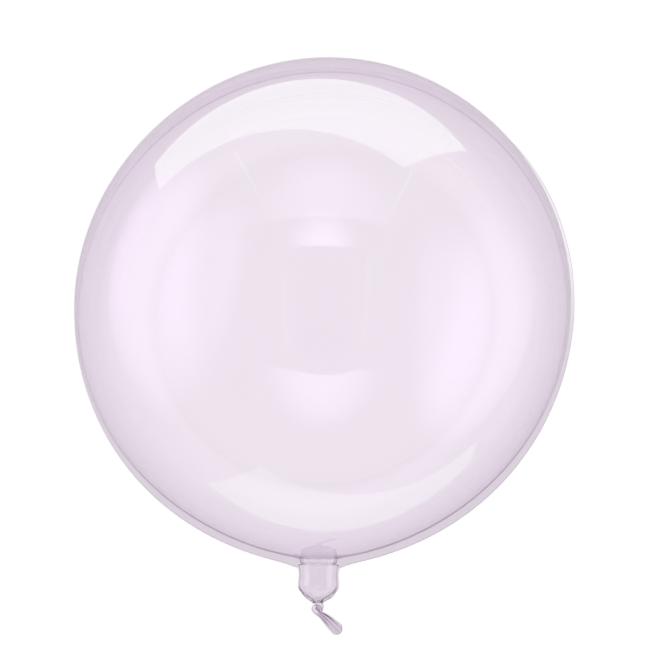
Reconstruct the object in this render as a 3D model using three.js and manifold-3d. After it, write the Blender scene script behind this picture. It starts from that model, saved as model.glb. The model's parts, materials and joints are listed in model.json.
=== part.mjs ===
// A clear stretch-film orb balloon, blown up, knotted at the neck and lying on its back panel.
// Two round panels are welded face to face along a flat rim, and the rim runs on down both sides of
// a filling neck. Below its knot the empty neck ends in a short pleated tail. It is all one film, so
// it is one sealed body. Millimetres, +Z up, the rim level, and the neck pointing along -Y.

import * as THREE from "three";
import { mergeVertices } from "three/addons/utils/BufferGeometryUtils.js";
import Module from "manifold-3d";

const wasm = await Module();
wasm.setup();

const { degToRad: radians, lerp, smoothstep } = THREE.MathUtils;

// Driving dimensions. A reach is a distance from the ball's centre, along the neck.
const ballRadius = 200;
const flatSpotRadius = 26;

const rimWidth = 5.9;
const rimFlare = 1.6;
const rimThickness = 1.2;
const rimRipple = 0.5;
const rimRipples = 18;

const lipRadius = 18.6;
const collarRadius = 13.9;
const stepReach = 208.6;
const stepRadius = 15.6;
const waistRadius = 14.6;
const neckRadius = 15;
const shoulderReach = 225.8;
const throatReach = 238.4;
const throatRadius = 2.8;
const leftMargin = 0.8;
const rightMargin = 1.5;
const gathers = 8;
const gatherDepth = 0.8;

const strandRadius = 1.9;
const tailHalfWidth = 4.8;
const tailHalfDepth = 0.6;
const tailPleat = 0.8;
const cutBulge = 3.2;
const cutPeak = 1.3;
const cutDepth = 8;

// The film doesn't stretch evenly all round, so the plan outline is a circle with a few shallow
// lobes, and the neck draws its own side out to a soft point.
const lobes = [
  { count: 2, depth: 1.85, turn: 85 },
  { count: 3, depth: 0.4, turn: 172 },
  { count: 4, depth: 0.5, turn: 10 },
];
const neckPull = 5.2;
const neckPullSpread = 18;
const neckPullEase = 1.4;

// The weld's free edge is trimmed by eye.
const rimTrim = [
  { count: 1, depth: 0.95, turn: 22 },
  { count: 3, depth: 1.25, turn: 80 },
  { count: 4, depth: 1.1, turn: 180 },
];

// Facets.
const sidesRound = 66;
const ringsUp = 31;
const neckSides = gathers * 5;
const strandSides = 20;

const neckwards = new THREE.Vector3(0, -1, 0);
const lipAngle = Math.asin(lipRadius / ballRadius);
const lipReach = filmRadius(lipAngle) * Math.cos(lipAngle);

function waves(list, angle) {
  return list.reduce(
    (sum, wave) => sum + wave.depth * Math.cos(wave.count * angle - radians(wave.turn)),
    0,
  );
}

// The ball's radius at an angle from the neck's axis.
function filmRadius(fromNeck) {
  const spread = radians(neckPullSpread);
  const faded = 1 - smoothstep(fromNeck, 2.5 * spread, 4 * spread);
  return ballRadius + neckPull * faded * Math.exp(-((fromNeck / spread) ** neckPullEase));
}

// Moves every vertex of a geometry by a function of its place.
function reshape(geometry, move) {
  const position = geometry.getAttribute("position");
  const point = new THREE.Vector3();
  for (let i = 0; i < position.count; i += 1) {
    point.fromBufferAttribute(position, i);
    move(point);
    position.setXYZ(i, point.x, point.y, point.z);
  }
  return geometry;
}

// Takes a point of the round form to its place on the unevenly stretched film.
function stretchFilm(point) {
  const planRadius = Math.hypot(point.x, point.y);
  const lobe = waves(lobes, Math.atan2(point.y, point.x));
  const widen = 1 + (lobe * Math.min(planRadius / ballRadius, 1)) / ballRadius;
  point.x *= widen;
  point.y *= widen;
}

function toSolid(geometry) {
  const bare = geometry.clone();
  bare.deleteAttribute("normal");
  bare.deleteAttribute("uv");
  const merged = mergeVertices(reshape(bare, stretchFilm), 1e-4);
  return new wasm.Manifold(
    new wasm.Mesh({
      numProp: 3,
      vertProperties: new Float32Array(merged.getAttribute("position").array),
      triVerts: new Uint32Array(merged.index.array),
    }),
  );
}

function toGeometry(solid) {
  const mesh = solid.getMesh();
  const geometry = new THREE.BufferGeometry();
  geometry.setAttribute("position", new THREE.BufferAttribute(mesh.vertProperties, 3));
  geometry.setIndex(new THREE.BufferAttribute(mesh.triVerts, 1));
  geometry.computeVertexNormals();
  return geometry;
}

function across(x, reach) {
  return new THREE.Vector2(x, reach);
}

// The two blown-up panels: a sphere from the flat spot that it lies on to its top.
function makeBall() {
  const lowest = Math.asin(flatSpotRadius / ballRadius);
  const profile = [across(0, -ballRadius * Math.cos(lowest))];
  for (let ring = 0; ring <= ringsUp; ring += 1) {
    const angle = lerp(lowest, Math.PI, ring / ringsUp);
    const radius = ring === ringsUp ? 0 : ballRadius * Math.sin(angle);
    profile.push(across(radius, -ballRadius * Math.cos(angle)));
  }
  const ball = new THREE.LatheGeometry(profile, sidesRound).rotateX(Math.PI / 2);
  return reshape(ball, (point) => {
    point.multiplyScalar(filmRadius(point.angleTo(neckwards)) / ballRadius);
  });
}

// The welded rim: a thin flat ring that stands out of the ball at mid height, wider by the neck.
function makeRim() {
  const inner = ballRadius - rimWidth;
  const outer = ballRadius + rimWidth;
  const half = rimThickness / 2;
  const profile = [
    across(inner, -half),
    across(outer, -half),
    across(outer, half),
    across(inner, half),
    across(inner, -half),
  ];
  const rim = new THREE.LatheGeometry(profile, sidesRound * 2).rotateX(Math.PI / 2);
  return reshape(rim, (point) => {
    const planRadius = Math.hypot(point.x, point.y);
    if (planRadius < ballRadius) return;
    const angle = Math.atan2(point.y, point.x);
    const fromNeck = point.clone().setZ(0).angleTo(neckwards);
    const trim = waves(rimTrim, angle) * smoothstep(fromNeck, lipAngle, 2 * lipAngle);
    const flare = rimFlare * Math.exp(-Math.max(fromNeck - lipAngle, 0) / radians(1.5));
    const scale = (filmRadius(fromNeck) + rimWidth + flare + trim) / planRadius;
    point.x *= scale;
    point.y *= scale;
    point.z += rimRipple * Math.sin(rimRipples * angle);
  });
}

// The neck: a collar out of the ball, a step, a blown-up tube, and a gather down to the throat.
function makeNeck() {
  const groove = 0.9;
  const rootReach = ballRadius - neckRadius;
  const endReach = throatReach + 1.6;
  const profile = [
    across(0, rootReach),
    across(collarRadius + 1.8, rootReach),
    across(collarRadius + 1.8, lipReach + 0.5),
    across(collarRadius, lipReach + 1.3),
    across(collarRadius, stepReach - 1.2),
    across(collarRadius - groove, stepReach - 0.3),
    across(stepRadius - 0.3, stepReach + 0.6),
    ...new THREE.SplineCurve([
      across(stepRadius, stepReach + 1.2),
      across(waistRadius, stepReach + 8),
      across(waistRadius + 0.1, shoulderReach - 5),
      across(neckRadius, shoulderReach),
      across(neckRadius * 0.57, shoulderReach + 7.6),
      across(throatRadius, throatReach),
    ]).getPoints(12),
    across(throatRadius, endReach),
    across(0, endReach),
  ];
  const neck = new THREE.LatheGeometry(profile, neckSides);
  reshape(neck, (point) => {
    const gathered = smoothstep(point.y, shoulderReach, throatReach - 2);
    const radius = Math.hypot(point.x, point.z);
    if (radius < throatRadius / 2) return;
    const fold = gatherDepth * gathered * Math.cos(gathers * Math.atan2(point.z, point.x));
    point.x *= 1 + fold / radius;
    point.z *= 1 + fold / radius;
  });
  return neck.rotateX(Math.PI);
}

// One side of the weld's margin beside the neck, which flares into the rim at its root.
function marginEdge(margin) {
  const rootReach = lipReach + rimWidth + rimFlare;
  return new THREE.SplineCurve([
    across(lipRadius + 0.4, rootReach),
    across(stepRadius + margin, rootReach + 1.2),
    across(waistRadius + margin, stepReach + 8),
    across(neckRadius + margin, shoulderReach),
    across(neckRadius * 0.85 + margin, shoulderReach + 5),
    across(neckRadius * 0.62 + margin, shoulderReach + 9),
    across(throatRadius + 2.6, throatReach - 0.4),
    across(throatRadius + 1.2, throatReach + 1),
  ]).getPoints(18);
}

function makeNeckMargins() {
  const rightSide = [across(lipRadius + 0.4, ballRadius - neckRadius), ...marginEdge(rightMargin)];
  const leftSide = [across(lipRadius + 0.4, ballRadius - neckRadius), ...marginEdge(leftMargin)]
    .map((point) => across(-point.x, point.y))
    .reverse();
  const outline = new THREE.Shape([...rightSide, ...leftSide]);
  return new THREE.ExtrudeGeometry(outline, { depth: rimThickness, bevelEnabled: false })
    .translate(0, 0, -rimThickness / 2)
    .rotateX(Math.PI);
}

// A strand's path through points of across, reach and height.
function strandPath(points, steps) {
  const turns = points.map(([x, reach, z]) => new THREE.Vector3(x, -reach, z));
  return new THREE.CatmullRomCurve3(turns, false, "catmullrom").getPoints(steps);
}

// A closed strand of bunched film. Its frames are carried back from its end without twist, and
// section gives its half width, half depth and pleat depth at a share of the way along.
function makeStrand(path, section, endAcross) {
  const last = path.length - 1;
  const side = endAcross.clone();
  const rings = [];
  for (let step = last; step >= 0; step -= 1) {
    const ahead = path[Math.min(step + 1, last)].clone().sub(path[Math.max(step - 1, 0)]);
    ahead.normalize();
    side.addScaledVector(ahead, -side.dot(ahead)).normalize();
    const through = new THREE.Vector3().crossVectors(ahead, side);
    const { width, depth, pleat } = section(step / last);
    const ring = [];
    for (let k = 0; k < strandSides; k += 1) {
      const turn = (k / strandSides) * 2 * Math.PI;
      const fold = pleat * Math.sin(Math.cos(turn) * 3 * Math.PI);
      ring.push(
        path[step]
          .clone()
          .addScaledVector(side, width * Math.cos(turn))
          .addScaledVector(through, depth * Math.sin(turn) + fold),
      );
    }
    rings.unshift(ring);
  }
  const points = [...rings.flat(), path[0], path[last]];
  const startCentre = points.length - 2;
  const endCentre = points.length - 1;
  const faces = [];
  for (let k = 0; k < strandSides; k += 1) {
    const next = (k + 1) % strandSides;
    for (let step = 0; step < last; step += 1) {
      const here = step * strandSides;
      const there = here + strandSides;
      faces.push(here + k, here + next, there + next, here + k, there + next, there + k);
    }
    const end = last * strandSides;
    faces.push(startCentre, next, k, endCentre, end + k, end + next);
  }
  return new THREE.BufferGeometry().setFromPoints(points).setIndex(faces);
}

// The neck's bunched film: out of the throat, over the front of the knot, and tucked in.
function makeFrontStrand() {
  const path = strandPath([
    [0.6, 238.2, 0.6],
    [1.1, 240, 2.2],
    [1.7, 242.4, 3.4],
    [1.9, 244.9, 3.4],
    [2.1, 247, 2.6],
    [2.2, 248.4, 1.6],
  ], 10);
  const section = (share) => {
    const taper = smoothstep(share, 0.35, 1);
    return { width: lerp(3, 1, taper), depth: lerp(strandRadius, 0.8, taper), pleat: 0.1 };
  };
  return makeStrand(path, section, new THREE.Vector3(1, 0, 0));
}

// The free end: round behind the throat, past its left side, under the front strand and out in a
// flat pleated tail with a cut corner.
function makeKnotAndTail() {
  const path = strandPath([
    [2.4, 245.6, -1.2],
    [1.6, 243.8, -2.2],
    [-0.6, 242.5, -2.3],
    [-2.8, 243.2, -0.9],
    [-2.2, 245.3, 0.5],
    [0.6, 247.3, 0.9],
    [3.9, 249.2, 0.6],
    [7.6, 252.3, 0.3],
    [12, 256.3, 0.1],
    [16.3, 260.1, 0],
  ], 20);
  const endAcross = new THREE.Vector3(1, 1.1, 0).normalize();
  const section = (share) => {
    const wide = smoothstep(share, 0.5, 1);
    const flat = smoothstep(share, 0.45, 0.75);
    return {
      width: lerp(strandRadius, tailHalfWidth, wide),
      depth: lerp(1.6, tailHalfDepth, flat),
      pleat: tailPleat * flat,
    };
  };
  const end = path[path.length - 1];
  const ahead = end.clone().sub(path[path.length - 2]).normalize();
  return reshape(makeStrand(path, section, endAcross), (point) => {
    const fromEnd = point.clone().sub(end);
    const beforeEnd = -fromEnd.dot(ahead);
    const aside = Math.abs(fromEnd.dot(endAcross) - cutPeak) / tailHalfWidth;
    const bulge = cutBulge * Math.max(0, 1 - aside ** 1.5) * (1 - smoothstep(beforeEnd, 0, cutDepth));
    point.addScaledVector(ahead, bulge);
  });
}

// The film bunched inside the knot's turn.
function makeKnotCore() {
  return new THREE.SphereGeometry(1, 12, 8).scale(2.2, 3, 2).translate(0.3, -244.2, -0.3);
}

function makeBalloon() {
  const pieces = [
    makeRim(),
    makeNeck(),
    makeNeckMargins(),
    makeFrontStrand(),
    makeKnotAndTail(),
    makeKnotCore(),
  ];
  const solid = pieces.reduce((whole, piece) => whole.add(toSolid(piece)), toSolid(makeBall()));
  const film = new THREE.MeshStandardMaterial({
    color: 0xe6daeb,
    roughness: 0.06,
    metalness: 0,
    transparent: true,
    opacity: 0.35,
  });
  const balloon = new THREE.Mesh(toGeometry(solid), film);
  balloon.name = "balloon";
  return balloon;
}

// The origin is at the middle of the bounding box's underside, level with the flat spot.
const balloon = makeBalloon();
const extent = new THREE.Box3().setFromObject(balloon);
const middle = extent.getCenter(new THREE.Vector3());
balloon.position.set(-middle.x, -middle.y, -extent.min.z);

const group = new THREE.Group();
group.add(balloon);

export default group;
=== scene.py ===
# A clear lilac orb balloon lying on its back panel, seen from above. Metres, +Z up, the neck along -Y.
import json
import math

import bmesh
import bpy
from mathutils import Matrix, Vector, noise


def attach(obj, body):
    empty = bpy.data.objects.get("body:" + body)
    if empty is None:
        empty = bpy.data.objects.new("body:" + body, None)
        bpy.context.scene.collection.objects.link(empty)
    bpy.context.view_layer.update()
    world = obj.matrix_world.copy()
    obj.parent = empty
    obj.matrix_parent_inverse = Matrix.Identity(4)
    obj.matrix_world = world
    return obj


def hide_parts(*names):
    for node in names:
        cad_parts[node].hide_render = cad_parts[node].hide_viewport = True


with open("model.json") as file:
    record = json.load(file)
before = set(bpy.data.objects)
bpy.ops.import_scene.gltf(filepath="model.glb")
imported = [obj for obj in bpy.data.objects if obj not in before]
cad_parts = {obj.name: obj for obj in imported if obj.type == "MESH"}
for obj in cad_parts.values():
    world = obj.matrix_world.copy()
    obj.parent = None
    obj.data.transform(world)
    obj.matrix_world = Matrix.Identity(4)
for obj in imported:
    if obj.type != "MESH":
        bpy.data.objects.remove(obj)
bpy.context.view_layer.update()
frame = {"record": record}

MM = 0.001
TURN = 2 * math.pi

# The balloon's own sizes, as its solid has them. A reach is a distance from the ball's centre, along
# the neck.
BALL_RADIUS = 200 * MM
FLAT_SPOT_RADIUS = 26 * MM
FILM = 0.15 * MM
RIM_WIDTH = 5.9 * MM
RIM_FLARE = 1.6 * MM
RIM_FILM = 0.25 * MM
LIP_RADIUS = 18.6 * MM
COLLAR_RADIUS = 13.9 * MM
STEP_REACH = 208.6 * MM
STEP_RADIUS = 15.6 * MM
WAIST_RADIUS = 14.6 * MM
NECK_RADIUS = 15.0 * MM
SHOULDER_REACH = 225.8 * MM
THROAT_REACH = 238.4 * MM
THROAT_RADIUS = 2.8 * MM
NECK_END = 239 * MM
LEFT_MARGIN = 0.8 * MM
RIGHT_MARGIN = 1.5 * MM
STRAND_FILM = 0.2 * MM
TAIL_WIDTH = 9.6 * MM
CUT_BULGE = 3.2 * MM
CUT_SLOPE = 1.5
CUT_DEPTH = 8 * MM

# Small relief of the film, which the solid leaves out.
STEP_GROOVE = 0.9 * MM
RIDGE_HEIGHT = 0.09 * MM
RIDGE_SPREAD = 0.07
COLLAR_PUCKERS = 10
COLLAR_PUCKER = 0.7 * MM
GATHER_FOLD = 1.92 * MM
WELD_RIPPLE = 0.7 * MM
WELD_FOLD = 0.75 * MM

# Shallow lobes of the plan outline and of the weld's trimmed edge: count, depth, turn.
LOBES = (
    (2, 1.85 * MM, math.radians(85)),
    (3, 0.4 * MM, math.radians(172)),
    (4, 0.5 * MM, math.radians(10)),
)
RIM_TRIM = (
    (1, 0.95 * MM, math.radians(22)),
    (3, 1.25 * MM, math.radians(80)),
    (4, 1.1 * MM, math.radians(180)),
)

# The neck draws its own side of the ball out to a soft point.
NECK_PULL = 5.2 * MM
NECK_PULL_SPREAD = math.radians(18)
NECK_PULL_EASE = 1.4

# The flat spot is right under the ball's centre.
flat_spot = next(mount for mount in frame["record"]["mounts"] if mount["name"] == "flat_spot")
CENTRE = Vector((
    flat_spot["pos_m"][0],
    flat_spot["pos_m"][1],
    math.sqrt(BALL_RADIUS ** 2 - FLAT_SPOT_RADIUS ** 2),
))


def waves(listed, angle):
    """The sum of a list of waves at an angle round the ball."""
    return sum(depth * math.cos(count * angle - turn) for count, depth, turn in listed)


def smooth(low, high, value):
    """A soft step from 0 at low to 1 at high."""
    share = min(max((value - low) / (high - low), 0), 1)
    return share * share * (3 - 2 * share)


def ball_radius(from_neck):
    """The ball's radius at an angle from the neck's axis."""
    return BALL_RADIUS + NECK_PULL * math.exp(-((from_neck / NECK_PULL_SPREAD) ** NECK_PULL_EASE))


def stretch_film(point):
    """Takes a point of the plain round form, about the ball's centre, to its place on the real film."""
    plan_radius = math.hypot(point.x, point.y)
    lobe = waves(LOBES, math.atan2(point.y, point.x))
    widen = 1 + lobe * min(plan_radius / BALL_RADIUS, 1) / BALL_RADIUS
    return Vector((point.x * widen, point.y * widen, point.z))


def finish_mesh(bm, name, material, thickness, offset=-1):
    """Puts a bmesh about the ball's centre in its place as a smooth piece of film of a thickness."""
    bmesh.ops.remove_doubles(bm, verts=bm.verts, dist=1e-7)
    bmesh.ops.recalc_face_normals(bm, faces=bm.faces)
    bmesh.ops.translate(bm, verts=bm.verts, vec=CENTRE)
    mesh = bpy.data.meshes.new(name)
    bm.to_mesh(mesh)
    bm.free()
    for polygon in mesh.polygons:
        polygon.use_smooth = True
    piece = bpy.data.objects.new(name, mesh)
    bpy.context.scene.collection.objects.link(piece)
    mesh.materials.append(material)
    layer = piece.modifiers.new("film", "SOLIDIFY")
    layer.thickness = thickness
    layer.offset = offset
    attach(piece, "root")
    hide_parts("balloon")
    return piece


def shader(name):
    """A new material, with its nodes, its links and its surface shader."""
    material = bpy.data.materials.new(name)
    material.use_nodes = True
    nodes = material.node_tree.nodes
    return material, nodes, material.node_tree.links, nodes["Principled BSDF"]


def add_node(nodes, kind, **values):
    """A new node with some of its values set."""
    node = nodes.new(kind)
    for key, value in values.items():
        setattr(node, key, value)
    return node


def colour_mix(nodes, links, factor, near, far):
    """Mixes two colours, each a plain colour or another node's output."""
    mix = add_node(nodes, "ShaderNodeMix", data_type="RGBA")
    links.new(factor, mix.inputs["Factor"])
    for socket, colour in ((mix.inputs[6], near), (mix.inputs[7], far)):
        if isinstance(colour, tuple):
            socket.default_value = (*colour, 1)
        else:
            links.new(colour, socket)
    return mix.outputs[2]


def ramp(nodes, links, value, low, high):
    """Turns a value that goes from low to high into a soft step from 0 to 1."""
    step = add_node(nodes, "ShaderNodeMapRange", interpolation_type="SMOOTHSTEP")
    step.inputs["From Min"].default_value = low
    step.inputs["From Max"].default_value = high
    links.new(value, step.inputs["Value"])
    return step.outputs["Result"]


def clear_film(name, roughness):
    """A clear film's shader, with its points' places measured from the ball's centre."""
    material, nodes, links, surface = shader(name)
    surface.inputs["Transmission Weight"].default_value = 1
    surface.inputs["IOR"].default_value = 1.5
    surface.inputs["Roughness"].default_value = roughness
    place = add_node(nodes, "ShaderNodeTexCoord")
    centred = add_node(nodes, "ShaderNodeMapping")
    centred.inputs["Location"].default_value = -CENTRE
    links.new(place.outputs["Object"], centred.inputs["Vector"])
    return material, nodes, links, surface, centred.outputs["Vector"]


def film_material(name, clear, deep, thick, thick_reach, roughness):
    """Film tinted deeper by painted shade towards the weld, and past a reach down the neck, where it is less
    stretched.
    """
    material, nodes, links, surface, place = clear_film(name, roughness)
    split = add_node(nodes, "ShaderNodeSeparateXYZ")
    links.new(place, split.inputs["Vector"])
    height = add_node(nodes, "ShaderNodeMath", operation="ABSOLUTE")
    links.new(split.outputs["Z"], height.inputs[0])
    reach = add_node(nodes, "ShaderNodeVectorMath", operation="LENGTH")
    links.new(place, reach.inputs[0])
    # Painted shade: the tint deepens towards the weld, which darkens the ball's rim.
    rim_shade_mask = ramp(nodes, links, height.outputs[0], 0.5 * BALL_RADIUS, 0)
    on_neck = ramp(nodes, links, reach.outputs["Value"], thick_reach, thick_reach + 2 * MM)
    tint = colour_mix(nodes, links, rim_shade_mask, clear, deep)
    tint = colour_mix(nodes, links, on_neck, tint, thick)
    links.new(streaked(nodes, links, tint, height.outputs[0]), surface.inputs["Base Color"])
    return material


def streaked(nodes, links, tint, height):
    """Deepens a tint slightly in fine streaks along the weld, where the film is least stretched."""
    streaks = add_node(nodes, "ShaderNodeTexNoise", noise_dimensions="1D")
    streaks.inputs["Scale"].default_value = 320
    streaks.inputs["Detail"].default_value = 3
    links.new(height, streaks.inputs["W"])
    streak = ramp(nodes, links, streaks.outputs["Fac"], 0.5, 0.8)
    near_weld = add_node(nodes, "ShaderNodeMath", operation="MULTIPLY")
    links.new(streak, near_weld.inputs[0])
    links.new(ramp(nodes, links, height, 0.55 * BALL_RADIUS, 0.3 * BALL_RADIUS), near_weld.inputs[1])
    deeper = add_node(nodes, "ShaderNodeMix", data_type="RGBA", blend_type="MULTIPLY")
    deeper.inputs[7].default_value = (0.965, 0.95, 0.965, 1)
    links.new(near_weld.outputs[0], deeper.inputs["Factor"])
    links.new(tint, deeper.inputs[6])
    return deeper.outputs[2]


def weld_material(name, far_side, neck_side, roughness):
    """Two joined layers, with painted shade deepening their tint on the neck's side."""
    material, nodes, links, surface, place = clear_film(name, roughness)
    split = add_node(nodes, "ShaderNodeSeparateXYZ")
    links.new(place, split.inputs["Vector"])
    # Painted shade: the weld darkens towards the neck's side.
    weld_shade_mask = ramp(nodes, links, split.outputs["Y"], 0.3 * BALL_RADIUS, -0.3 * BALL_RADIUS)
    links.new(colour_mix(nodes, links, weld_shade_mask, far_side, neck_side), surface.inputs["Base Color"])
    return material


# Tints of the film, from the most stretched to the most bunched. The rim's deeper tint and the weld's on the
# neck side are painted shade.
CLEAR = (0.978, 0.937, 0.983)
# Painted rim shade, which deepens the film's tint towards the weld.
PAINTED_RIM_SHADE = (0.955, 0.895, 0.96)
ON_NECK = (0.9, 0.855, 0.905)
WELDED_FAR = (0.95, 0.915, 0.955)
# The weld's tint on the neck's side, deepened by painted shade.
SHADED_WELD = (0.75, 0.67, 0.76)
BUNCHED = (0.95, 0.91, 0.955)
PLEATED = (0.87, 0.81, 0.88)
NECK_ROOT_REACH = STEP_REACH - 4 * MM
KNOT_REACH = THROAT_REACH + 8 * MM
film = film_material("lilac_film", CLEAR, PAINTED_RIM_SHADE, ON_NECK, NECK_ROOT_REACH, 0.0)
weld = weld_material("welded_film", WELDED_FAR, SHADED_WELD, 0.05)
gathered = film_material("gathered_film", BUNCHED, BUNCHED, PLEATED, KNOT_REACH, 0.06)
bunched = film_material("bunched_film", BUNCHED, BUNCHED, BUNCHED, KNOT_REACH, 0.14)


def smooth_line(points, steps):
    """A smooth curve through a few points, by Catmull and Rom's formula, with the ends held."""
    line = []
    for i in range(len(points) - 1):
        before = points[max(i - 1, 0)]
        start = points[i]
        end = points[i + 1]
        after = points[min(i + 2, len(points) - 1)]
        for step in range(steps):
            t = step / steps
            line.append(0.5 * (
                2 * start
                + (end - before) * t
                + (2 * before - 5 * start + 4 * end - after) * t * t
                + (3 * start - before - 3 * end + after) * t ** 3
            ))
    line.append(points[-1])
    return line


def on_ball(from_neck):
    """The across and the reach of the ball's film at an angle from the neck's axis."""
    radius = ball_radius(from_neck)
    return Vector((radius * math.sin(from_neck), radius * math.cos(from_neck)))


LIP_ANGLE = math.asin(LIP_RADIUS / BALL_RADIUS)


def neck_profile():
    """Radius and reach from the ball to the knot: a lip, a collar, a step, a blown-up tube and a gather."""
    lip = on_ball(LIP_ANGLE)
    return smooth_line([
        lip,
        Vector((COLLAR_RADIUS + 1.8 * MM, lip.y + 0.5 * MM)),
        Vector((COLLAR_RADIUS + 0.4 * MM, lip.y + 1.3 * MM)),
        Vector((COLLAR_RADIUS, STEP_REACH - 1.2 * MM)),
        Vector((COLLAR_RADIUS - STEP_GROOVE, STEP_REACH - 0.5 * MM)),
        Vector((COLLAR_RADIUS - STEP_GROOVE, STEP_REACH - 0.1 * MM)),
        Vector((STEP_RADIUS - 0.3 * MM, STEP_REACH + 0.6 * MM)),
        Vector((STEP_RADIUS, STEP_REACH + 1.2 * MM)),
        Vector((STEP_RADIUS - 0.4 * MM, STEP_REACH + 3 * MM)),
        Vector((WAIST_RADIUS, STEP_REACH + 8 * MM)),
        Vector((WAIST_RADIUS + 0.1 * MM, SHOULDER_REACH - 5 * MM)),
        Vector((NECK_RADIUS, SHOULDER_REACH)),
        Vector((NECK_RADIUS * 0.84, SHOULDER_REACH + 4.2 * MM)),
        Vector((NECK_RADIUS * 0.57, SHOULDER_REACH + 7.6 * MM)),
        Vector((NECK_RADIUS * 0.3, SHOULDER_REACH + 10.2 * MM)),
        Vector((THROAT_RADIUS, THROAT_REACH)),
        Vector((THROAT_RADIUS, NECK_END)),
    ], 6)


def make_film():
    """The two panels and the neck: one skin, wrapped round the neck's axis, then stretched into shape."""
    rings = 110
    sides = 240
    closer = 1.3
    line = [
        on_ball(LIP_ANGLE + (math.pi - LIP_ANGLE) * (1 - ring / rings) ** closer) for ring in range(rings)
    ]
    line[0].x = 0
    line += neck_profile()
    rows = len(line) - 1
    bm = bmesh.new()
    bmesh.ops.create_grid(bm, x_segments=sides, y_segments=rows, size=0.5)
    for corner in bm.verts:
        turn = round((corner.co.x + 0.5) * sides) % sides * TURN / sides
        point = line[round((corner.co.y + 0.5) * rows)]
        corner.co = settle(Vector((point.x * math.cos(turn), -point.y, point.x * math.sin(turn))))
    return finish_mesh(bm, "film", film, FILM)


def settle(point):
    """Puckers, gathers, stretches and flattens the round skin as the real one is."""
    reach = -point.y
    across = math.hypot(point.x, point.z)
    turn = math.atan2(point.z, point.x)
    round_neck = Vector((math.cos(turn), math.sin(turn), 0))
    from_neck = math.atan2(across, reach)
    if LIP_ANGLE < from_neck < 3 * LIP_ANGLE:
        ridge = max(0, 1 - abs(noise.noise(round_neck * 4.5)) / RIDGE_SPREAD)
        height = RIDGE_HEIGHT * ridge * smooth(3 * LIP_ANGLE, 1.2 * LIP_ANGLE, from_neck)
        height *= smooth(LIP_ANGLE, 1.1 * LIP_ANGLE, from_neck)
        point = point + point.normalized() * height
    on_collar = smooth(STEP_REACH - 5 * MM, STEP_REACH - 3.8 * MM, reach)
    on_collar *= smooth(STEP_REACH, STEP_REACH - 0.8 * MM, reach)
    if on_collar > 0 and across > 0:
        pucker = 1 + COLLAR_PUCKER * on_collar * math.cos(COLLAR_PUCKERS * turn) / across
        point = Vector((point.x * pucker, point.y, point.z * pucker))
    gather = smooth(SHOULDER_REACH + 1 * MM, THROAT_REACH - 3 * MM, reach)
    if gather > 0 and across > 0:
        folds = noise.noise(round_neck * 4 + Vector((0, 0, reach * 60)))
        narrow = 1 + GATHER_FOLD * gather * folds / across
        point = Vector((point.x * narrow, point.y, point.z * narrow))
    point = stretch_film(point)
    point.z = rest(point.z)
    return point


def rest(z):
    """Flattens the lowest film against what the ball lies on, with a soft edge."""
    soft = 0.5 * MM
    well_clear = 8
    above = (z + CENTRE.z) / soft
    if above > well_clear:
        return z
    return -CENTRE.z + soft * math.log1p(math.exp(above))


def radius_at(line, reach):
    """The radius that a line of radius and reach has at one reach, from its end backwards."""
    for low, high in reversed(list(zip(line, line[1:]))):
        if low.y <= reach <= high.y and high.y > low.y:
            return low.x + (high.x - low.x) * (reach - low.y) / (high.y - low.y)
    return line[-1].x if reach > line[-1].y else line[0].x


def weld_side(side):
    """Inner and outer points of one side's weld, from the throat up the neck and half round the ball."""
    tube = neck_profile()
    margin = LEFT_MARGIN if side < 0 else RIGHT_MARGIN
    corner = on_ball(LIP_ANGLE) + Vector((0.4 * MM, RIM_WIDTH + RIM_FLARE))
    edge = smooth_line([
        corner,
        Vector((STEP_RADIUS + margin, corner.y + 1.2 * MM)),
        Vector((WAIST_RADIUS + margin, STEP_REACH + 8 * MM)),
        Vector((NECK_RADIUS + margin, SHOULDER_REACH)),
        Vector((NECK_RADIUS * 0.85 + margin, SHOULDER_REACH + 5 * MM)),
        Vector((NECK_RADIUS * 0.62 + margin, SHOULDER_REACH + 9 * MM)),
        Vector((THROAT_RADIUS + 2.6 * MM, THROAT_REACH - 0.4 * MM)),
        Vector((THROAT_RADIUS + 1.2 * MM, THROAT_REACH + 1 * MM)),
    ], 8)
    narrowest = 0.4 * MM
    pairs = []
    rows = 64
    for row in range(rows):
        reach = edge[-1].y + (edge[0].y + 0.4 * MM - edge[-1].y) * row / rows
        inner = radius_at(tube, reach) - 0.2 * MM
        outer = max(radius_at(edge, reach), inner + narrowest)
        pairs.append((Vector((inner, reach)), Vector((outer, reach))))
    root = smooth_line([
        pairs[-1][0],
        Vector((STEP_RADIUS - 0.4 * MM, STEP_REACH + 0.7 * MM)),
        Vector((COLLAR_RADIUS - 1.0 * MM, STEP_REACH - 0.3 * MM)),
        Vector((COLLAR_RADIUS - 0.3 * MM, STEP_REACH - 1.5 * MM)),
        Vector((COLLAR_RADIUS + 0.9 * MM, STEP_REACH - 3.9 * MM)),
        on_ball(LIP_ANGLE),
    ], 4)
    for step, inner in enumerate(root[1:-1]):
        pairs.append((inner, pairs[rows - 1][1].lerp(corner, (step + 1) / (len(root) - 1))))
    turns = 360
    for turn in range(turns + 1):
        from_neck = LIP_ANGLE + (math.pi - LIP_ANGLE) * turn / turns
        flare = RIM_FLARE * math.exp(-(from_neck - LIP_ANGLE) / math.radians(1.5))
        trim = waves(RIM_TRIM, side * from_neck - math.pi / 2) * smooth(LIP_ANGLE, 2 * LIP_ANGLE, from_neck)
        out = Vector((math.sin(from_neck), math.cos(from_neck)))
        inner = on_ball(from_neck) - out * 0.1 * MM
        pairs.append((inner, inner + out * (RIM_WIDTH + flare + trim)))
    return [tuple(Vector((side * point.x, -point.y, 0)) for point in pair) for pair in pairs]


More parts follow.
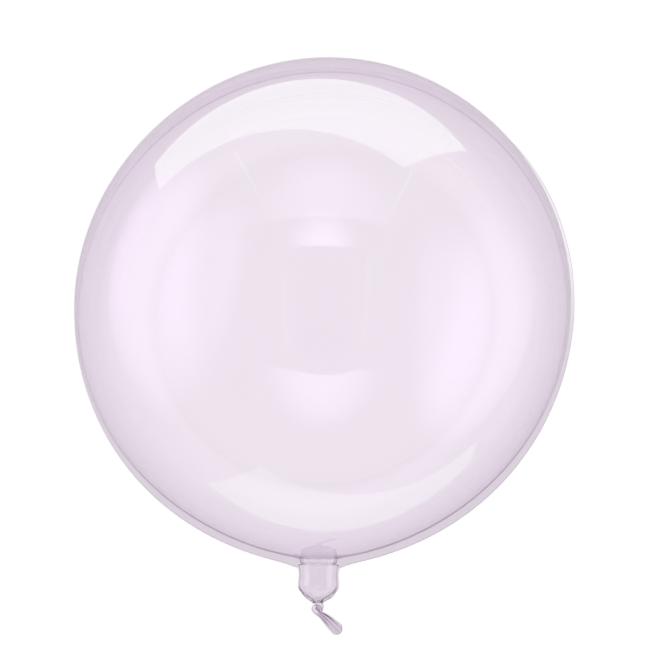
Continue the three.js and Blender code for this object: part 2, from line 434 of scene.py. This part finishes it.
def make_weld():
    """The weld: a flat ribbon of joined film up one side of the neck, round the ball and down again."""
    pairs = weld_side(1) + weld_side(-1)[-2::-1]
    rows = len(pairs) - 1
    columns = 10
    bm = bmesh.new()
    bmesh.ops.create_grid(bm, x_segments=rows, y_segments=columns, size=0.5)
    for corner in bm.verts:
        inner, outer = pairs[round((corner.co.x + 0.5) * rows)]
        share = round((corner.co.y + 0.5) * columns) / columns
        place = stretch_film(inner.lerp(outer, share))
        gathered_here = smooth(SHOULDER_REACH, SHOULDER_REACH + 5 * MM, -place.y)
        fold = gathered_here * math.sin(2 * TURN * share + 5 * noise.noise(place * 160))
        place.z = share * WELD_RIPPLE * noise.noise(place * 45) + WELD_FOLD * fold
        corner.co = place
    return finish_mesh(bm, "weld", weld, RIM_FILM, 0)


def carried_frames(path, last_across):
    """The ways across and through at each point of a path, carried back from its end without twist."""
    frames = []
    across = last_across
    for i in reversed(range(len(path))):
        ahead = path[min(i + 1, len(path) - 1)] - path[max(i - 1, 0)]
        ahead.normalize()
        across = (across - ahead * across.dot(ahead)).normalized()
        frames.append((across, ahead.cross(across)))
    frames.reverse()
    return frames


def sweep_strand(path, shape, last_across, last_twist):
    """A strand of film along a path. shape gives its half width, half depth, folds and fold depth."""
    sides = 96
    frames = carried_frames(path, last_across)
    steps = len(path) - 1
    bm = bmesh.new()
    bmesh.ops.create_grid(bm, x_segments=sides, y_segments=steps, size=0.5)
    for corner in bm.verts:
        step = round((0.5 - corner.co.y) * steps)
        share = step / steps
        turn = (corner.co.x + 0.5) * TURN
        width, depth, folds, fold_depth = shape(share)
        flat = max(0.0, 1 - depth / width)
        x = math.cos(turn)
        y = math.sin(turn)
        twist = last_twist * share
        round_fold = fold_depth * (1 - flat) * math.cos(folds * 2 * turn + twist)
        pleat = fold_depth * flat * math.sin(folds * TURN / 2 * x + twist)
        across, through = frames[step]
        place = across * x * (width + round_fold) + through * (y * (depth + round_fold) + pleat)
        corner.co = path[step] + place
    return bm


def strand_path(points, steps):
    """A strand's path from points of across, reach and height, in millimetres."""
    return smooth_line([Vector((x, -reach, z)) * MM for x, reach, z in points], steps)


def make_front_strand():
    """The neck's bunched film: out of the throat, over the front of the knot, and tucked in to a point."""
    path = strand_path([
        (0.6, 238.2, 0.6),
        (1.1, 240.0, 2.2),
        (1.7, 242.4, 3.4),
        (1.9, 244.9, 3.4),
        (2.1, 247.0, 2.6),
        (2.2, 248.4, 1.6),
    ], 8)

    def shape(share):
        taper = smooth(0.35, 1, share)
        half_width = 3.0 - 2.3 * taper
        half_depth = 1.8 - 1.5 * taper
        fold_depth = 0.3 * (1 - taper)
        return half_width * MM, half_depth * MM, 4, fold_depth * MM

    bm = sweep_strand(path, shape, Vector((1, 0, 0)), 1)
    return finish_mesh(bm, "front_strand", bunched, STRAND_FILM)


def make_knot_and_tail():
    """The free end: round behind the throat, under the front strand and out in a flat pleated tail."""
    path = strand_path([
        (2.4, 245.6, -1.2),
        (1.6, 243.8, -2.2),
        (-0.6, 242.5, -2.3),
        (-2.8, 243.2, -0.9),
        (-2.2, 245.3, 0.5),
        (0.6, 247.3, 0.9),
        (3.9, 249.2, 0.6),
        (7.6, 252.3, 0.3),
        (12.0, 256.3, 0.1),
        (16.3, 260.1, 0),
    ], 9)

    def shape(share):
        wide = smooth(0.5, 1, share)
        flat = smooth(0.45, 0.75, share)
        half_width = 1.9 + 2.9 * wide
        half_depth = 1.6 - 1.0 * flat
        fold_depth = 0.3 + 0.75 * flat
        return half_width * MM, half_depth * MM, 3, fold_depth * MM

    across = Vector((1, 1.1, 0)).normalized()
    bm = sweep_strand(path, shape, across, 1.5)
    along = (path[-1] - path[-2]).normalized()
    for corner in bm.verts:
        before_end = (path[-1] - corner.co).dot(along)
        aside = abs((corner.co - path[-1]).dot(across)) / (TAIL_WIDTH / 2)
        if before_end < CUT_DEPTH:
            bulge = CUT_BULGE * min(max(CUT_SLOPE * (1 - aside), 0), 1)
            corner.co += along * bulge * smooth(CUT_DEPTH, 0, before_end)
    return finish_mesh(bm, "knot_and_tail", gathered, STRAND_FILM)


make_film()
make_weld()
make_front_strand()
make_knot_and_tail()


def glow(name, colour, radiance, spot):
    """A light panel's material. A spot has a middle, half sizes and the share of them before it dims."""
    material = bpy.data.materials.new(name)
    material.use_nodes = True
    nodes = material.node_tree.nodes
    links = material.node_tree.links
    nodes.clear()
    output = add_node(nodes, "ShaderNodeOutputMaterial")
    light = add_node(nodes, "ShaderNodeEmission")
    light.inputs["Color"].default_value = (*colour, 1)
    light.inputs["Strength"].default_value = radiance
    if not spot:
        links.new(light.outputs[0], output.inputs["Surface"])
        return material
    middle, half_sizes, even = spot
    place = add_node(nodes, "ShaderNodeTexCoord")
    centred = add_node(nodes, "ShaderNodeVectorMath", operation="SUBTRACT")
    centred.inputs[1].default_value = middle
    scaled = add_node(nodes, "ShaderNodeVectorMath", operation="DIVIDE")
    scaled.inputs[1].default_value = half_sizes
    away = add_node(nodes, "ShaderNodeVectorMath", operation="LENGTH")
    links.new(place.outputs["Object"], centred.inputs[0])
    links.new(centred.outputs["Vector"], scaled.inputs[0])
    links.new(scaled.outputs["Vector"], away.inputs[0])
    clear = add_node(nodes, "ShaderNodeBsdfTransparent")
    blend = add_node(nodes, "ShaderNodeMixShader")
    links.new(ramp(nodes, links, away.outputs["Value"], even, 1), blend.inputs["Fac"])
    links.new(light.outputs[0], blend.inputs[1])
    links.new(clear.outputs[0], blend.inputs[2])
    links.new(blend.outputs[0], output.inputs["Surface"])
    return material


def make_panel(name, corners, radiance, colour=(1, 1, 1), through=True, spot=None):
    """A light between two rows of corners, hidden from the camera and, if not through, behind film."""
    half = len(corners) // 2
    bm = bmesh.new()
    rows = [[bm.verts.new(corner) for corner in row] for row in (corners[:half], corners[half:])]
    edges = [bm.edges.new(pair) for row in rows for pair in zip(row, row[1:])]
    bmesh.ops.bridge_loops(bm, edges=edges)
    mesh = bpy.data.meshes.new(name)
    bm.to_mesh(mesh)
    bm.free()
    panel = bpy.data.objects.new(name, mesh)
    bpy.context.scene.collection.objects.link(panel)
    mesh.materials.append(glow(name, colour, radiance, spot))
    panel.visible_camera = False
    panel.visible_shadow = False
    panel.visible_diffuse = False
    panel.visible_transmission = through
    return panel


def upright(y, corners):
    """A panel's corners on a plane square to Y."""
    return [(x, y, z) for x, z in corners]


def level(z, left, right, near, far):
    """The corners of a level rectangle overhead."""
    return [(left, near, z), (right, near, z), (right, far, z), (left, far, z)]


def wall(x, near, far, foot, top):
    """The corners of an upright rectangle beside the ball."""
    return [(x, near, foot), (x, far, foot), (x, far, top), (x, near, top)]


def make_seam(name, foot, head, radiance):
    """A bright seam of the light tent: a narrow strip that faces the ball."""
    half_width = 6 * MM
    foot = Vector(foot)
    head = Vector(head)
    half = Vector((foot.y, -foot.x, 0)).normalized() * half_width
    make_panel(name, [foot - half, foot + half, head + half, head - half], radiance)


def make_horizon_seam():
    """A faint seam that runs level round the back of the tent, a little higher in the middle."""
    steps = 24
    width = 14 * MM
    low = []
    for step in range(steps + 1):
        turn = math.radians(-70 + 140 * step / steps)
        low.append(Vector((math.sin(turn), math.cos(turn), 0.32 + 0.1 * math.cos(turn))))
    high = [point + Vector((0, 0, width)) for point in reversed(low)]
    make_panel("horizon_seam", low + high, 0.6)


def make_lights():
    """A white light tent with an opening for the camera, a lamp by the opening, two walls and two strips."""
    strip_white = (0.82, 1, 0.83)
    high = upright(0.65, [(-0.71, 0.01), (0.55, 0.22), (0.39, 0.67), (-0.89, 0.25)])
    make_panel("high_strip", high, 2.0, strip_white, False)
    low = upright(-0.40, [(-0.28, 0.14), (0.45, 0.02), (0.52, 0.1), (-0.15, 0.34)])
    make_panel("low_strip", low, 1.15, strip_white, False)
    lilac_white = (0.92, 0.72, 1)
    wall_half_sizes = (1, 1.15, 0.67)
    evenly = 0.35
    left_spot = ((-1, 0.15, 0.5), wall_half_sizes, evenly)
    make_panel("left_wall", wall(-1, -1.1, 1.3, 0.02, 1.3), 1.12, lilac_white, spot=left_spot)
    right_spot = ((1, -0.3, 0.5), wall_half_sizes, evenly)
    make_panel("right_wall", wall(1, -1.5, 0.9, 0.02, 1.3), 1.12, lilac_white, spot=right_spot)
    lamp_spot = ((0, 0.43, 1.6), (0.45, 0.5, 1), 0.05)
    make_panel("lamp", level(1.6, -0.43, 0.45, 0.39, 0.92), 3.4, lilac_white, False, lamp_spot)
    twin_spot = ((0, 0.95, 1.6), (1.1, 1.6, 1), 0.1)
    twin = make_panel("twin_lamp", level(1.6, -1, 1.1, 0.74, 2.5), 1.9, lilac_white, spot=twin_spot)
    twin.visible_glossy = False
    make_panel("opening", level(1.6, -0.38, 0.46, -0.75, 0.38), 0.1)
    make_seam("left_seam", (-0.49, 0.8, 0.55), (-0.58, 0.8, 1.5), 0.75)
    make_seam("right_seam", (0.53, 0.8, 0.7), (0.76, 0.8, 1.75), 0.95)
    make_horizon_seam()
    edge_radiance = 0.9
    make_panel("left_edge", level(1.6, -0.39, -0.37, -0.75, 0.38), edge_radiance)
    make_panel("right_edge", level(1.6, 0.45, 0.47, -0.75, 0.38), edge_radiance)


make_lights()


def make_floor():
    """A pale floor that glows with a painted pool of light, even under the balloon and dimming with
    distance.
    """
    bm = bmesh.new()
    bmesh.ops.create_grid(bm, x_segments=1, y_segments=1, size=6)
    bmesh.ops.translate(bm, verts=bm.verts, vec=(0, 0, -0.3 * MM))
    mesh = bpy.data.meshes.new("floor")
    bm.to_mesh(mesh)
    bm.free()
    floor = bpy.data.objects.new("floor", mesh)
    bpy.context.scene.collection.objects.link(floor)
    material, nodes, links, surface = shader("pale_floor")
    surface.inputs["Base Color"].default_value = (0.3, 0.3, 0.3, 1)
    surface.inputs["Roughness"].default_value = 1
    surface.inputs["Specular IOR Level"].default_value = 0
    place = add_node(nodes, "ShaderNodeTexCoord")
    length = add_node(nodes, "ShaderNodeVectorMath", operation="LENGTH")
    links.new(place.outputs["Object"], length.inputs[0])
    # Painted pool of light: the floor's own glow, even round the balloon, dims further out.
    pool = add_node(nodes, "ShaderNodeMapRange", interpolation_type="SMOOTHSTEP")
    pool.inputs["From Min"].default_value = 0.45
    pool.inputs["From Max"].default_value = 1.3
    pool.inputs["To Min"].default_value = 0.955
    pool.inputs["To Max"].default_value = 0.45
    links.new(length.outputs["Value"], pool.inputs["Value"])
    links.new(pool.outputs["Result"], surface.inputs["Emission Strength"])
    # Painted reflection shade: to glossy rays the floor glows a darker lilac, darkest far off, which darkens
    # the film's rim.
    path = add_node(nodes, "ShaderNodeLightPath")
    mirrored = add_node(nodes, "ShaderNodeMath", operation="MINIMUM")
    mirrored.inputs[1].default_value = 1
    links.new(path.outputs["Glossy Depth"], mirrored.inputs[0])
    behind = add_node(nodes, "ShaderNodeVectorMath", operation="DISTANCE")
    behind.inputs[1].default_value = (-0.02, 0.1, 0)
    links.new(place.outputs["Object"], behind.inputs[0])
    far_off = ramp(nodes, links, behind.outputs["Value"], 0.17, 0.66)
    reflected_shade = colour_mix(nodes, links, far_off, (0.8, 0.74, 0.81), (0.39, 0.355, 0.4))
    reflected_shade = colour_mix(nodes, links, mirrored.outputs[0], (1, 1, 1), reflected_shade)
    links.new(reflected_shade, surface.inputs["Emission Color"])
    mesh.materials.append(material)


def make_world():
    """Dim soft surroundings, paler at the horizon than overhead."""
    world = bpy.data.worlds.new("studio")
    bpy.context.scene.world = world
    world.use_nodes = True
    nodes = world.node_tree.nodes
    links = world.node_tree.links
    place = add_node(nodes, "ShaderNodeTexCoord")
    split = add_node(nodes, "ShaderNodeSeparateXYZ")
    links.new(place.outputs["Generated"], split.inputs[0])
    height = add_node(nodes, "ShaderNodeMapRange", interpolation_type="SMOOTHSTEP")
    height.inputs["From Min"].default_value = 0.0
    height.inputs["From Max"].default_value = 0.7
    height.inputs["To Min"].default_value = 0.28
    height.inputs["To Max"].default_value = 0.15
    links.new(split.outputs["Z"], height.inputs["Value"])
    links.new(height.outputs["Result"], nodes["Background"].inputs["Strength"])
    nodes["Background"].inputs["Color"].default_value = (1, 1, 1, 1)


def make_camera():
    """The camera looks down on the ball. The picture is 645 pixels square, and the ball is a little high."""
    distance = 1.1
    elevation = math.radians(80.5)
    lean = math.radians(3)
    roll = math.radians(1.05)
    focal_pixels = 1338
    picture = 645
    ball_at = (322.9, 305.7)
    data = bpy.data.cameras.new("camera")
    data.sensor_width = 36
    data.lens = focal_pixels / picture * data.sensor_width
    data.clip_start = 0.01
    camera = bpy.data.objects.new("camera", data)
    bpy.context.scene.collection.objects.link(camera)
    away = Vector((
        math.sin(lean) * math.cos(elevation),
        -math.cos(lean) * math.cos(elevation),
        math.sin(elevation),
    ))
    up = (Vector((0, 1, 0)) - away * away.y).normalized()
    right = up.cross(away)
    look = Matrix((right, up, away)).transposed()
    aside = math.atan((ball_at[0] - picture / 2) / focal_pixels)
    above = math.atan((picture / 2 - ball_at[1]) / focal_pixels)
    aim = Matrix.Rotation(aside, 3, "Y") @ Matrix.Rotation(-above, 3, "X") @ Matrix.Rotation(roll, 3, "Z")
    camera.matrix_world = Matrix.Translation(CENTRE + away * distance) @ (look @ aim).to_4x4()
    bpy.context.scene.camera = camera


make_floor()
make_world()
make_camera()
bpy.context.scene.view_settings.view_transform = "Standard"
